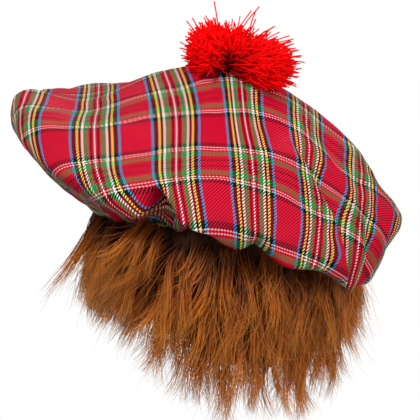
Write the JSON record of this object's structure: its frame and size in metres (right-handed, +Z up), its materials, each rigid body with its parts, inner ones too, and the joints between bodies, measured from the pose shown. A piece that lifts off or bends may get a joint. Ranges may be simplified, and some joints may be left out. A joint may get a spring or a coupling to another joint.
{
  "type": "tartan tam o' shanter with attached false hair",
  "caption": "Slouched round tartan cloth crown gathered onto a headband, with a red yarn pompom on top and a shaggy ginger false-hair skirt hanging below the band.",
  "frame": {"origin": "centre of the headband's lower edge, where the hat sits on a head", "axes": "+Z up, +X towards the side that the crown slouches to, -Y towards the side shown in the picture"},
  "size_m": [0.289, 0.2894, 0.3025],
  "materials": {
    "tartan_cloth": "woven twill tartan, red ground with green, blue, yellow, white and black lines",
    "band_cloth": "plain woven cloth",
    "false_hair": "long shaggy false fur with a soft shine",
    "red_yarn": "cut wool yarn"
  },
  "bodies": {
    "root": {"crown": "tartan_cloth", "headband": "band_cloth", "hair": "false_hair", "pompom": "red_yarn"}
  },
  "joints": []
}
